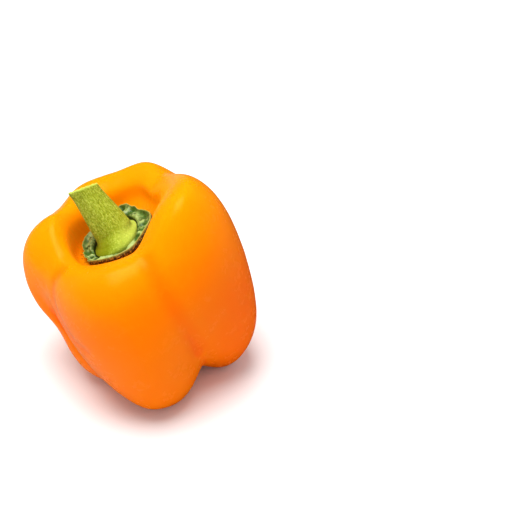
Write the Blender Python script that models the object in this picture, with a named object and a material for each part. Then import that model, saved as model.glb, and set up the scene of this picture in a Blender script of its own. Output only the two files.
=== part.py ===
"""A bell pepper as picked: a fruit of five lobes that stands on their tips, its calyx and its cut stem.

Sizes are in millimetres until a mesh is made, and in metres after that. The fruit is laid out round its
growth axis, which runs from the ground up to the calyx, and is then leant to the left so that the ground is
z = 0. Azimuths are in degrees round that axis, anticlockwise from above, with 0 to the right and 270 to the
front.
"""

import math
from typing import NamedTuple

import bmesh
import bpy
import numpy as np
from mathutils import Euler, Vector
from mathutils.bvhtree import BVHTree

MM = 0.001


class Lobe(NamedTuple):
    """The line down the middle of one lobe. Each point of it ends in its azimuth, so the lobe can twist."""

    nose: tuple  # radius, rise above the calyx's seat
    shoulder: tuple  # radius, rise above the middle of the seat
    flank: tuple  # radius, height
    low: tuple  # radius, rise above the tip
    tip: tuple  # radius, how far the ground flattens it, or negative where it stays clear


class Crease(NamedTuple):
    """The valley after a lobe: how far it lies in or below the mean of its two lobes, with its azimuths."""

    nose: tuple  # in, down
    shoulder: tuple  # in, down
    flank: tuple  # in
    low: tuple  # in
    tip: tuple  # in, up
    crispness: float  # over the shoulder: 0 is a soft wave, and 1 is two arcs that meet


class Dent(NamedTuple):
    """A soft hollow in a flank."""

    azimuth: float
    height: float
    azimuth_reach: float
    height_reach: float
    depth: float


LOBES = (
    # Back
    Lobe((19, 4.5, 64), (31.6, 13.2, 68), (40.1, 44, 66.1), (33.5, 12, 70), (22.5, 0.7, 70)),
    # Back left
    Lobe((18, 4, 118), (28.6, 13.6, 116.7), (40.1, 50.5, 114), (33, 12, 112), (22, -0.4, 110)),
    # Left
    Lobe((17, 3, 172), (22.7, 16.3, 166), (40.6, 59.2, 184), (33.9, 7.7, 204.6), (20.9, 0.3, 188)),
    # Front
    Lobe((17.5, 5, 262), (29, 8.8, 264), (42.9, 34.7, 269.7), (36.8, 9.5, 258.7), (20.1, 0.7, 268.5)),
    # Right
    Lobe((18, 6, 336), (33.9, 18.5, 347.8), (42, 49.6, 352.9), (33.6, 13.5, 353.5), (16.7, -0.4, 348.3)),
)
CREASES = (
    Crease((1, 1, 94.5), (2, 0.3, 89), (0.8, 90), (0.8, 90), (1.5, 1.5, 90), 0.5),
    Crease((1, 1, 142), (2.5, 1.6, 140), (3, 142), (6, 145), (8, 8, 140), 0.5),
    Crease((0, -0.5, 222), (1.5, 5.5, 218), (6.8, 203.6), (5.6, 229.9), (7.4, 9.5, 244.7), 0.1),
    Crease((0.5, 2, 297), (4.5, 6.5, 298), (5, 298.5), (12.1, 303.5), (9, 6.6, 302), 0.3),
    Crease((1, 2, 400), (5, 4.9, 405.5), (2.5, 406), (6.5, 406.5), (8, 7, 408), 0.6),
)
DENTS = (
    Dent(197.8, 38.8, 13, 8, 3.5),
)

LEAN = 20.6  # degrees that the growth axis leans to the left
SEAT_HEIGHT = 61.6  # up the growth axis, from the ground to the calyx's seat
SEAT_RADIUS = 11.0
SEAT_DISH = 1.0
INNER_BROW = (0.28, 0.7)  # share of the way out and up from nose to shoulder
OUTER_BROW = (0.68, 0.25)  # share of the way out and down from shoulder to flank
SEAT_LEAN = 7.0  # degrees that the seat leans left of square to the growth axis
CORE_HEIGHT = 14.0  # of the hollow in the middle of the blossom end
CORE_STEP_RADIUS = 0.45  # of the tip's radius, where the line climbs to the core
CORE_STEP_RISE = 0.6
CREASE_LOW_UP = 2.0
CREASE_STEP_RADIUS = 0.7
CREASE_STEP_UP = 0.25

# Along the line from seat to core: where a crease keeps its crispness to, where it fades, and where the
# blossom end's crispness starts.
CRISP_TO = 0.35
CRISP_GONE = 0.55
LOW_CRISP_FROM = 0.72
LOW_CRISPNESS = 0.6

LOBE_COLUMNS = 14
FRUIT_ROWS = 57

CALYX_RADIUS = 15.2
CALYX_TIPS = 7
CALYX_TIP_REACH = 0.5
CALYX_COLUMNS = 63
CALYX_SEAT_GAP = 0.35  # between the calyx and the fruit
COLLAR_INNER_RADIUS = 10.4
COLLAR_LUMPS = 11
COLLAR_LUMP_HEIGHT = 0.28
# Rings of the collar: share of the way from its inner radius to the calyx's edge, thickness, share of a lump.
COLLAR_RINGS = (
    (0.0, 1.7, 0.0),
    (0.12, 2.3, 0.6),
    (0.4, 2.3, 1.0),
    (0.7, 2.3, -0.8),
    (0.93, 2.4, 0.0),
    (1.0, 2.0, 0.0),
)
# Rings of the underside, from the edge inwards: the same share, and the gap to the fruit.
UNDERSIDE_RINGS = ((0.93, 0.9), (0.5, 0.5), (0.0, CALYX_SEAT_GAP))
SOCKET_FLOOR = 1.9
SOCKET_WALL_LEAN = 0.15  # that the socket's wall comes in on its way down
SOCKET_CORE_RADIUS = 5.0

STEM_SIDES = 28
STEM_GAP = 0.3
STEM_BEND = 3.0  # distance over which the stem turns to its lean
STEM_LEAN_BACK = 18.0  # degrees, and its lean to the left, both from the calyx's own axis
STEM_LEAN_LEFT = 8.0
STEM_RIBS = 5
STEM_RIB_DEPTH = 0.035  # share of the radius
STEM_RIBS_FULL = 8.0  # distance along the stem at which its ribs reach their full depth
# Distance along the stem from its foot in the socket, with the radius there, up to the cut end.
STEM_PROFILE = (
    (0.0, 9.5),
    (1.0, 9.9),
    (1.7, 9.5),
    (2.3, 8.75),
    (3.1, 8.0),
    (4.3, 7.45),
    (6.2, 7.15),
    (9.0, 6.85),
    (13.0, 6.35),
    (18.0, 5.75),
    (21.5, 5.5),
    (23.3, 5.6),
    (23.8, 5.3),
)
CUT_END_RINGS = ((0.78, 0.25), (0.5, -0.35))  # share of the end's radius, and height beyond it
CUT_SLANT = 13.0  # degrees from square, with the left side left longer
CUT_SLANT_FROM = 15.0  # distance along the stem where its rings start to turn to the cut


def clear_scene():
    """Removes what the scene starts with."""
    for obj in list(bpy.data.objects):
        bpy.data.objects.remove(obj)


def material(name, colour, roughness):
    """A plain Principled material of one colour."""
    made = bpy.data.materials.new(name)
    made.use_nodes = True
    shader = made.node_tree.nodes["Principled BSDF"]
    shader.inputs["Base Color"].default_value = (*colour, 1.0)
    shader.inputs["Roughness"].default_value = roughness
    shader.inputs["Metallic"].default_value = 0.0
    return made


def along(knots):
    """FRUIT_ROWS points on a centripetal Catmull-Rom curve through (radius, height, azimuth) knots."""
    mirror = np.array((-1.0, 1.0, 1.0))
    knots = np.vstack((knots[1] * mirror, knots, knots[-2] * mirror))
    steps = np.sqrt(np.linalg.norm(np.diff(knots[:, :2], axis=0), axis=1))[:, None]
    place = np.linspace(0.0, len(knots) - 3, FRUIT_ROWS)
    span = np.minimum(place.astype(int), len(knots) - 4)
    u = (place - span)[:, None]
    before, here, after, beyond = (knots[span + k] for k in range(4))
    s0, s1, s2 = (steps[span + k] for k in range(3))
    start = after - here + s1 * ((here - before) / s0 - (after - before) / (s0 + s1))
    end = after - here + s1 * ((beyond - after) / s2 - (beyond - here) / (s1 + s2))
    return (
        (2 * u**3 - 3 * u**2 + 1) * here
        + (u**3 - 2 * u**2 + u) * start
        + (3 * u**2 - 2 * u**3) * after
        + (u**3 - u**2) * end
    )


def ground_height(radius, azimuth):
    """Height along the growth axis at which the leaning fruit meets the ground."""
    return -radius * math.cos(math.radians(azimuth)) * math.tan(math.radians(LEAN))


def seat_height(radius, azimuth):
    """Height of the seat, which leans to the left."""
    return SEAT_HEIGHT + radius * math.cos(math.radians(azimuth)) * math.tan(math.radians(SEAT_LEAN))


def lobe_knots(lobe):
    """(radius, height, azimuth) points down the middle of a lobe, from the seat to the core."""
    nose, shoulder, flank, low, tip = lobe
    tip_height = ground_height(tip[0], tip[2]) - tip[1]
    return np.array(
        (
            (0.0, SEAT_HEIGHT, nose[2]),
            (SEAT_RADIUS, seat_height(SEAT_RADIUS, nose[2]) + SEAT_DISH, nose[2]),
            (nose[0], seat_height(nose[0], nose[2]) + nose[1], nose[2]),
            (shoulder[0], SEAT_HEIGHT + shoulder[1], shoulder[2]),
            flank,
            (low[0], tip_height + low[1], low[2]),
            (tip[0], tip_height, tip[2]),
            (tip[0] * CORE_STEP_RADIUS, tip_height + CORE_HEIGHT * CORE_STEP_RISE, tip[2]),
            (0.0, CORE_HEIGHT, tip[2]),
        )
    )


def crease_knots(crease, before, after):
    """The same points down a crease, from the lobes on its two sides."""
    nose, shoulder, flank, low, tip, _ = crease
    knots = (lobe_knots(before) + lobe_knots(after)) / 2
    knots[1, 1] = seat_height(SEAT_RADIUS, nose[2]) + SEAT_DISH / 2
    knots[2, 1] = seat_height(knots[2, 0], nose[2]) + (before.nose[1] + after.nose[1]) / 2
    knots[2, :2] -= nose[:2]
    knots[3, :2] -= shoulder[:2]
    knots[4, 0] -= flank[0]
    knots[5, :2] += (-low[0], CREASE_LOW_UP)
    knots[6, :2] += (-tip[0], tip[1])
    knots[7, :2] = (knots[7, 0] * CREASE_STEP_RADIUS, knots[7, 1] + tip[1] * CREASE_STEP_UP)
    knots[:, 2] = [point[-1] for point in (nose, nose, nose, shoulder, flank, low, tip, tip, tip)]
    return knots


def domed(knots):
    """The same points, with one more on each side of the shoulder, which make it a round dome."""
    nose, shoulder, flank = knots[2:5]
    inner = nose + (shoulder - nose) * (*INNER_BROW, 0.5)
    outer = shoulder + (flank - shoulder) * (*OUTER_BROW, 0.5)
    return np.insert(knots, (3, 4), (inner, outer), axis=0)


def dented(azimuth, radius, height):
    """The radius of these points once the dents press them in."""
    pressed = radius.copy()
    for dent in DENTS:
        off = (azimuth - dent.azimuth + 180.0) % 360.0 - 180.0
        reach = (off / dent.azimuth_reach) ** 2 + ((height - dent.height) / dent.height_reach) ** 2
        pressed -= np.minimum(radius, dent.depth * np.exp(-reach))
    return pressed


def crispness_along(crease):
    """How sharply two lobes meet in a crease, at each of its points."""
    places = (0.0, CRISP_TO, CRISP_GONE, LOW_CRISP_FROM, 1.0)
    values = (crease.crispness, crease.crispness, 0.0, LOW_CRISPNESS, LOW_CRISPNESS)
    return np.interp(np.linspace(0.0, 1.0, FRUIT_ROWS), places, values)[:, None]


def fruit_grid():
    """Points of the fruit round its growth axis, in rows from seat to core and columns along the lobes."""
    lobes = [along(domed(lobe_knots(lobe))) for lobe in LOBES]
    neighbours = zip(CREASES, LOBES, LOBES[1:] + LOBES[:1])
    creases = [along(domed(crease_knots(*neighbour))) for neighbour in neighbours]
    crisp = [crispness_along(crease) for crease in CREASES]
    columns = []
    for index, lobe in enumerate(lobes):
        before, after = creases[index - 1], creases[index]
        if index == 0:
            before = before - (0.0, 0.0, 360.0)
        for column in range(LOBE_COLUMNS):
            across = 2 * column / LOBE_COLUMNS - 1
            share = (across + 1) / 2
            share = share * share * (3 - 2 * share)
            valley = before * (1 - share) + after * share
            soft = (1 + math.cos(math.pi * across)) / 2
            arched = math.cos(math.pi * across / 2)
            bulge = soft + (crisp[index] if across > 0 else crisp[index - 1]) * (arched - soft)
            line = valley + bulge * (lobe - valley)
            side = after if across > 0 else before
            azimuth = lobe[:, 2] + abs(across) * (side[:, 2] - lobe[:, 2])
            radius, height = dented(azimuth, line[:, 0], line[:, 1]), line[:, 1]
            turn = np.radians(azimuth)
            columns.append(np.stack((radius * np.cos(turn), radius * np.sin(turn), height), 1))
    return np.stack(columns, 1)


def leant(points):
    """The same points once the growth axis leans to the left."""
    turn = math.radians(LEAN)
    x, y, z = points[..., 0], points[..., 1], points[..., 2]
    right = x * math.cos(turn) - z * math.sin(turn)
    up = x * math.sin(turn) + z * math.cos(turn)
    return np.stack((right, y, up), -1)


def ringed_mesh(name, rings, first_pole, last_pole):
    """A closed mesh of rings of points, from one pole to the other, given in millimetres."""
    made = bmesh.new()
    loops = [[made.verts.new(Vector(point) * MM) for point in ring] for ring in rings]
    poles = [made.verts.new(Vector(point) * MM) for point in (first_pole, last_pole)]
    count = len(loops[0])
    for i in range(count):
        j = (i + 1) % count
        made.faces.new((poles[0], loops[0][i], loops[0][j]))
        made.faces.new((poles[1], loops[-1][j], loops[-1][i]))
        for upper, lower in zip(loops, loops[1:]):
            made.faces.new((upper[i], lower[i], lower[j], upper[j]))
    bmesh.ops.recalc_face_normals(made, faces=made.faces)
    mesh = bpy.data.meshes.new(name)
    made.to_mesh(mesh)
    made.free()
    mesh.shade_smooth()
    return mesh


def add_object(name, mesh, finish, parent):
    """A named object of this mesh, carried by an empty."""
    mesh.materials.append(finish)
    obj = bpy.data.objects.new(name, mesh)
    bpy.context.scene.collection.objects.link(obj)
    obj.parent = parent
    return obj


def add_empty(name, parent=None, location=(0.0, 0.0, 0.0), turn=(0.0, 0.0, 0.0)):
    """An empty that carries pieces, placed in metres and turned in degrees."""
    empty = bpy.data.objects.new(name, None)
    bpy.context.scene.collection.objects.link(empty)
    empty.parent = parent
    empty.location = location
    empty.rotation_euler = Euler([math.radians(degrees) for degrees in turn])
    return empty


def add_fruit(stand):
    """The fruit: one solid body, flattened where the tips of its lobes meet the ground."""
    grid = leant(fruit_grid())
    grid[..., 2] = np.maximum(grid[..., 2], 0.0)
    mesh = ringed_mesh("fruit", grid[1:-1], grid[0, 0], grid[-1, 0])
    return add_object("fruit", mesh, material("pepper skin", (1.0, 0.28, 0.0), 0.2), stand)


class Seat:
    """Where the calyx sits: its axes, and how high the fruit's surface stands under each point of it."""

    def __init__(self, fruit_mesh, location, turn):
        self.location = Vector(location)
        self.turn = Euler([math.radians(degrees) for degrees in turn]).to_matrix()
        made = bmesh.new()
        made.from_mesh(fruit_mesh)
        self.surface = BVHTree.FromBMesh(made)
        made.free()

    def height(self, radius, angle):
        """Height of the fruit over the seat's plane, at a radius in millimetres and an angle in radians."""
        above = 30.0
        start = Vector((radius * math.cos(angle), radius * math.sin(angle), above)) * MM
        hit = self.surface.ray_cast(self.turn @ start + self.location, self.turn @ Vector((0, 0, -1)))
        return above - hit[3] / MM


def calyx_outline(angle):
    """Radius of the calyx's edge, which has a few blunt tips of uneven reach."""
    tips = (1 + math.cos(CALYX_TIPS * angle)) / 2
    uneven = 1 + 0.4 * math.sin(2 * angle + 0.6)
    return CALYX_RADIUS + CALYX_TIP_REACH * uneven * (tips**2 - 0.4)


def calyx_ring(seat, radius_at, height_at):
    """One ring of the calyx: a radius for each angle, and a height from the angle and the fruit there."""
    ring = []
    for column in range(CALYX_COLUMNS):
        angle = 2 * math.pi * column / CALYX_COLUMNS
        radius = radius_at(angle)
        height = height_at(angle, seat.height(radius, angle))
        ring.append((radius * math.cos(angle), radius * math.sin(angle), height))
    return ring


def add_calyx(seat, carrier):
    """The calyx: a saucer of green tissue in the hollow round the stem, with a socket for the stem's foot."""

    def circle(radius):
        return lambda angle: radius

    def across_collar(share):
        return lambda angle: COLLAR_INNER_RADIUS + share * (calyx_outline(angle) - COLLAR_INNER_RADIUS)

    def floor(angle, fruit):
        return SOCKET_FLOOR

    def collar(thickness, lump):
        def height(angle, fruit):
            wave = COLLAR_LUMP_HEIGHT * lump * math.sin(COLLAR_LUMPS * angle)
            return max(fruit, CALYX_SEAT_GAP) + CALYX_SEAT_GAP + thickness + wave

        return height

    def underside(gap):
        return lambda angle, fruit: fruit + gap

    wall = COLLAR_INNER_RADIUS - SOCKET_WALL_LEAN
    rings = [calyx_ring(seat, circle(radius), floor) for radius in (SOCKET_CORE_RADIUS, wall)]
    for share, thickness, lump in COLLAR_RINGS:
        rings.append(calyx_ring(seat, across_collar(share), collar(thickness, lump)))
    for share, gap in UNDERSIDE_RINGS:
        rings.append(calyx_ring(seat, across_collar(share), underside(gap)))
    rings.append(calyx_ring(seat, circle(SOCKET_CORE_RADIUS), underside(CALYX_SEAT_GAP)))
    under_middle = (0.0, 0.0, seat.height(0.0, 0.0) + CALYX_SEAT_GAP)
    mesh = ringed_mesh("calyx", rings, (0.0, 0.0, SOCKET_FLOOR), under_middle)
    return add_object("calyx", mesh, material("calyx green", (0.12, 0.28, 0.04), 0.5), carrier)


def stem_path(distance):
    """(point, direction) on the stem's middle line, which turns from the calyx's axis to its lean."""
    lean_left, lean_back = math.radians(STEM_LEAN_LEFT), math.radians(STEM_LEAN_BACK)
    aim = Vector((-math.tan(lean_left), math.tan(lean_back), 1.0)).normalized()
    eased = min(distance, STEM_BEND) ** 2 / (2 * STEM_BEND) + max(0.0, distance - STEM_BEND)
    point = Vector((0.0, 0.0, distance - eased)) + aim * eased
    share = min(1.0, distance / STEM_BEND)
    return point, Vector((0, 0, 1)).lerp(aim, share).normalized()


def stem_ring(distance, radius, ribbed):
    """A ring of points round the stem, with shallow ribs. Rings near the cut end turn to its slant."""
    point, direction = stem_path(distance)
    turn = Vector((0, 0, 1)).rotation_difference(direction)
    length = STEM_PROFILE[-1][0]
    slanted = min(1.0, max(0.0, (distance - CUT_SLANT_FROM) / (length - CUT_SLANT_FROM)))
    rise = math.tan(math.radians(CUT_SLANT)) * slanted
    ring = []
    for side in range(STEM_SIDES):
        angle = 2 * math.pi * side / STEM_SIDES
        rib = 1 + ribbed * STEM_RIB_DEPTH * math.cos(STEM_RIBS * angle)
        across = Vector((math.cos(angle), math.sin(angle), -math.cos(angle) * rise))
        ring.append(point + turn @ across * radius * rib)
    return ring


def add_stem(carrier):
    """The stem: a flared foot in the calyx's socket, a ribbed shaft, and a cut end with sunken pith."""
    length, end_radius = STEM_PROFILE[-1]
    rings = []
    for distance, radius in STEM_PROFILE:
        rings.append(stem_ring(distance, radius, min(1.0, distance / STEM_RIBS_FULL)))
    for share, rise in CUT_END_RINGS:
        rings.append(stem_ring(length + rise, end_radius * share, 0.0))
    tip, _ = stem_path(length + CUT_END_RINGS[-1][1])
    mesh = ringed_mesh("stem", rings, (0.0, 0.0, 0.0), tip)
    obj = add_object("stem", mesh, material("stem green", (0.35, 0.48, 0.06), 0.55), carrier)
    obj.location = (0.0, 0.0, (SOCKET_FLOOR + STEM_GAP) * MM)
    return obj


def centre_on_origin(stand):
    """Moves the stand so that the middle of the whole object's footprint is the origin."""
    bpy.context.view_layer.update()
    corners = [
        obj.matrix_world @ vertex.co
        for obj in stand.children_recursive
        if obj.type == "MESH"
        for vertex in obj.data.vertices
    ]
    for axis in (0, 1):
        places = [corner[axis] for corner in corners]
        stand.location[axis] = -(min(places) + max(places)) / 2


def main():
    clear_scene()
    stand = add_empty("stand")
    fruit = add_fruit(stand)
    seat_place = Vector(leant(np.array((0.0, 0.0, SEAT_HEIGHT)))) * MM
    seat_turn = (0.0, -(LEAN + SEAT_LEAN), 0.0)
    carrier = add_empty("calyx_seat", stand, seat_place, seat_turn)
    add_calyx(Seat(fruit.data, seat_place, seat_turn), carrier)
    add_stem(carrier)
    centre_on_origin(stand)


main()
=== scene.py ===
"""The look of a bell pepper: waxy skin, a lumpy calyx and a cut stem, on a pale floor in soft light."""

import math

import bmesh
import bpy
import mathutils.noise
import numpy as np
from bpy.props import FloatProperty, FloatVectorProperty, IntProperty, PointerProperty
from mathutils import Euler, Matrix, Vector
from mathutils.bvhtree import BVHTree


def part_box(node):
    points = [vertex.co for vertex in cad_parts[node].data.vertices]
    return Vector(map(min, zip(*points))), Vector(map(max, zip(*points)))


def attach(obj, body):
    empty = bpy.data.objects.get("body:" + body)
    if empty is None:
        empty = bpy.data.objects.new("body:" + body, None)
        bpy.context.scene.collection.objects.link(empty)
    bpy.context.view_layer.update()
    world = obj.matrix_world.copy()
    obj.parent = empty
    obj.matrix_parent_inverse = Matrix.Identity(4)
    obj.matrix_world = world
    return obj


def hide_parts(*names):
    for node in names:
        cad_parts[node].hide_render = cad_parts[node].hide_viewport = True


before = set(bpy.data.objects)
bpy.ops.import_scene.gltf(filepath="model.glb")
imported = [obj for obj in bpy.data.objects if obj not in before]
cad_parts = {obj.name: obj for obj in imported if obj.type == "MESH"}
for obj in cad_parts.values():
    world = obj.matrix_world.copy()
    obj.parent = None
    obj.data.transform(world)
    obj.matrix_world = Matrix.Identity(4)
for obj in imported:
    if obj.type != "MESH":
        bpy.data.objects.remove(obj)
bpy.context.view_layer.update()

bl_info = {
    "name": "Bell Pepper",
    "version": (1, 0, 0),
    "blender": (4, 5, 0),
    "location": "3D View > Sidebar > Pepper",
    "description": "Builds a bell pepper with its calyx and cut stem, and a studio stage for it",
    "category": "Add Mesh",
}

MM = 0.001

# The seat is where the calyx meets the fruit. Its middle is given from the middle of the calyx's box.
SEAT_FROM_CALYX_BOX = Vector((1.68, 0.02, -3.67)) * MM
SEAT_TURN = Euler((0.0, math.radians(-27.6), 0.0))
SEAT_MIDDLE = sum(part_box("calyx"), Vector()) / 2 + SEAT_FROM_CALYX_BOX

GROWTH_AXIS = Vector((-0.352, 0.0, 0.936))  # from the blossom end to the calyx
BLOSSOM_END = Vector((10.5, 1.8, 13.1)) * MM  # in the hollow between the lobes' tips

# Folds that sharpen two creases: start, two handles, end, width and depth, in millimetres.
FOLDS = (
    ((5.3, -23.7, 68.7), (12.9, -35.8, 59.1), (20.5, -31.1, 40.9), (22.8, -25.0, 27.3), 5.5, 0.65),
    ((-27.0, -13.6, 57.7), (-36.1, -16.8, 46.6), (-28.1, -19.8, 33.3), (-19.1, -32.0, 33.5), 4.0, 0.6),
)
HOLLOW_REACH = 60  # steps over which the skin is smoothed to find its hollows
HOLLOW_DEPTH = 0.8 * MM  # below the smoothed skin that counts as a full hollow
# Pairs of distances, between which a look of the skin comes in or, where the name says end, goes out.
# From the seat's middle:
PUCKERS_START = (13 * MM, 16 * MM)
PUCKERS_END = (16 * MM, 22 * MM)
GREEN_END = (15.5 * MM, 18 * MM)
SPECKS_END = (15.6 * MM, 16.8 * MM)
DIMPLE_END = (15 * MM, 30 * MM)
# Over the floor:
DIMPLE_START = (42 * MM, 50 * MM)
FLANK_END = (45 * MM, 65 * MM)
RELIEF_START = (0.3 * MM, 3 * MM)
SCAR_END = (1.2 * MM, 2.6 * MM)  # from the blossom end
SHOULDER_START = (46 * MM, 80 * MM)  # along the growth axis
# Painted shade on the lower right flank comes in over this span.
RIGHT_SHADE_START = (15 * MM, 44 * MM)  # to the right
PALE_FLECK_COLOUR = (1.0, 0.3, 0.0)
# How many of each stand side by side in a metre:
SHOULDER_WAVES = 45.0
PUCKER_BENDS = 90.0
PUCKER_PATCHES = 140.0
FOOT_PATCHES = 250.0
CORK_CRUMBS = 1300.0
PORES = 1500.0
STEM_SPECKS = 1500.0

CALYX_ROWS = 72
COLLAR_INNER_RADIUS = 10.4 * MM
FOOT_STRETCH = 0.11  # how much longer the stem's foot is from front to back than its mean, as a share
FOOT_SHIFT = 0.1  # how much farther it reaches to the left, as a share
SEAT_GAP = 0.35 * MM
SOCKET_FLOOR = 1.3 * MM
# Angle round the seat in degrees, and radius of the rim there in millimetres.
RIM = (
    (8, 15.2),
    (20, 15.0),
    (38, 14.2),
    (50, 14.0),
    (66, 15.0),
    (84, 16.8),
    (95, 16.0),
    (130, 16.0),
    (171, 15.0),
    (188, 14.0),
    (203, 14.2),
    (218, 14.3),
    (232, 15.6),
    (244, 16.3),
    (259, 17.4),
    (276, 17.6),
    (290, 16.9),
    (304, 16.7),
    (318, 15.6),
    (331, 15.3),
    (342, 14.8),
    (352, 15.2),
)
RIM_WAVE = 0.45 * MM
RIM_WAVE_SIZE = 1.8 * MM
LUMP_HEIGHT = 0.5 * MM
LUMP_SIZE = 2.4 * MM
CRINKLE_HEIGHT = 0.22 * MM
CRINKLE_SIZE = 0.9 * MM
CRUMB_HEIGHT = 0.2 * MM
CRUMB_SIZE = 0.5 * MM
COLLAR_WIDTH = 5  # in millimetres, about
LINE_WIDTH = 0.035  # of the pale edge and of the crack round the stem, as a share of the collar's width
CRACK_COLOUR = (0.02, 0.035, 0.004)
# Down the calyx's section from the socket: share of the way from the collar's inner radius to the rim,
# thickness in millimetres, and share of a lump. Below the rim the last number is how corky it is.
COLLAR_TOP = (
    (-0.5, 0.0, 0.0),
    (-0.02, 0.0, 0.0),
    (0.0, 1.6, 0.0),
    (0.06, 2.3, 0.4),
    (0.22, 2.6, 1.0),
    (0.45, 2.1, 1.0),
    (0.66, 1.6, 1.0),
    (0.86, 2.0, 0.5),
    (0.97, 2.5, 0.15),
    (1.0, 2.5, 0.1),
)
COLLAR_UNDER = (
    (1.02, 2.3, 0.0),
    (1.03, 1.8, 0.9),
    (1.02, 1.2, 1.0),
    (0.99, 0.7, 1.0),
    (0.8, 0.4, 1.0),
    (0.0, 0.35, 1.0),
    (-0.5, 0.35, 1.0),
)

STEM_FOOT_HEIGHT = 1.65 * MM  # of the foot over the seat
STEM_LEAN_BACK = math.radians(18)
STEM_LEAN_LEFT = math.radians(8)
STEM_BEND = 3 * MM
CUT_SLANT = math.radians(13)  # from square, with the left side left longer
CUT_SLANT_BACK = math.radians(10)  # and with the front left longer
SLANT_FROM = 15 * MM  # along the stem, below which it isn't sheared for the cut
# How many of each there are across a circle of radius 1 that stands for the stem:
CUT_RAGS = 7.0
FIBRES = 12.0
STREAKS = 32.0
FIBRE_RUN = 14.0  # how fast a fibre changes on its way up the stem, in such radii to the metre
# (distance along the stem, radius) in millimetres, from under the foot to the middle of the cut.
STEM_SECTION = (
    (0.0, 0.0),
    (0.0, 9.5),
    (0.5, 10.0),
    (1.0, 10.1),
    (1.5, 9.75),
    (1.95, 9.1),
    (2.5, 8.3),
    (3.3, 7.75),
    (4.5, 7.4),
    (6.2, 7.15),
    (9.0, 6.85),
    (13.0, 6.35),
    (18.0, 5.75),
    (21.5, 5.5),
    (23.6, 5.5),
    (23.9, 5.25),
    (23.6, 4.8),
    (23.0, 4.2),
    (22.7, 3.0),
    (22.4, 1.5),
    (22.3, 0.0),
)
SHAFT_END = 0.86  # share of the section that is the outside, up to the cut's edge
FOOT_END = (1.2 * MM, 5 * MM)  # along the stem, where the foot's longer sides go over into the round shaft
FIBRES_START = (2.5 * MM, 7 * MM)
RIBS_FULL = 8 * MM

FLOOR_HALF = 3.0  # metres from the middle to a side
KEY_PLACE = Vector((-0.1, -0.02, 0.85))
KEY_AIM = Vector((0.0, 0.0, 0.045))
KEY_SIZE = 0.55
FRAME_WIDTH = 36.0  # of the camera, in millimetres
MIRROR_FADE = (-30 * MM, 10 * MM)  # to the right, over which the mirrored floor darkens


# Settings


class SkinSettings(bpy.types.PropertyGroup):
    """Sizes and colours of the fruit."""

    colour: FloatVectorProperty(
        name="Skin", description="Colour of the ripe skin",
        subtype="COLOR", size=3, default=(1.0, 0.19, 0.0),
    )
    # Partly the skin's own riper tone, partly painted light on the tops and round the calyx.
    shoulder_and_painted_light_colour: FloatVectorProperty(
        name="Shoulders", description="Yellower skin on the shoulders",
        subtype="COLOR", size=3, default=(1.0, 0.29, 0.0),
    )
    # Painted shade: the darker, redder colour painted in the creases, on the lower right flank and near the
    # bottom.
    painted_shade_colour: FloatVectorProperty(
        name="Deep", description="Redder skin in the creases",
        subtype="COLOR", size=3, default=(1.0, 0.11, 0.0),
    )
    green_colour: FloatVectorProperty(
        name="Green tinge", description="Skin that is still greenish beside the calyx",
        subtype="COLOR", size=3, default=(0.55, 0.26, 0.01),
    )
    cork_colour: FloatVectorProperty(
        name="Cork", description="Brown specks beside the calyx, and the blossom's scar",
        subtype="COLOR", size=3, default=(0.09, 0.035, 0.006),
    )
    levels: IntProperty(
        name="Levels", description="Times that each face is cut in four", default=2, min=0, max=2
    )
    wobble_height: FloatProperty(
        name="Wobble height", description="Height of the skin's slow unevenness",
        unit="LENGTH", default=0.25 * MM,
    )
    wobble_size: FloatProperty(
        name="Wobble size", description="Width of one swell of it", unit="LENGTH", default=14 * MM
    )
    pucker_height: FloatProperty(
        name="Pucker height", description="Height of the puckers round the calyx",
        unit="LENGTH", default=0.05 * MM,
    )
    puckers: IntProperty(name="Puckers", description="Number of puckers round the calyx", default=46)


class CalyxSettings(bpy.types.PropertyGroup):
    """Sizes and colours of the calyx."""

    leaf_colour: FloatVectorProperty(
        name="Leaf", description="Dark green of the collar",
        subtype="COLOR", size=3, default=(0.05, 0.13, 0.006),
    )
    lump_colour: FloatVectorProperty(
        name="Lumps", description="Paler green on top of the lumps",
        subtype="COLOR", size=3, default=(0.40, 0.50, 0.15),
    )
    edge_colour: FloatVectorProperty(
        name="Edge", description="Pale line along the rim",
        subtype="COLOR", size=3, default=(0.45, 0.43, 0.07),
    )
    cork_colour: FloatVectorProperty(
        name="Cork", description="Brown cork below the rim",
        subtype="COLOR", size=3, default=(0.03, 0.014, 0.003),
    )
    crumb_colour: FloatVectorProperty(
        name="Crumbs", description="Paler crumbs of the cork",
        subtype="COLOR", size=3, default=(0.4, 0.26, 0.03),
    )
    size: FloatProperty(name="Size", description="Scale of the rim's outline", default=1.0)
    lumps: IntProperty(name="Lumps", description="Number of lumps round the collar", default=11)
    columns: IntProperty(name="Columns", description="Columns of faces round it", default=504)


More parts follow.
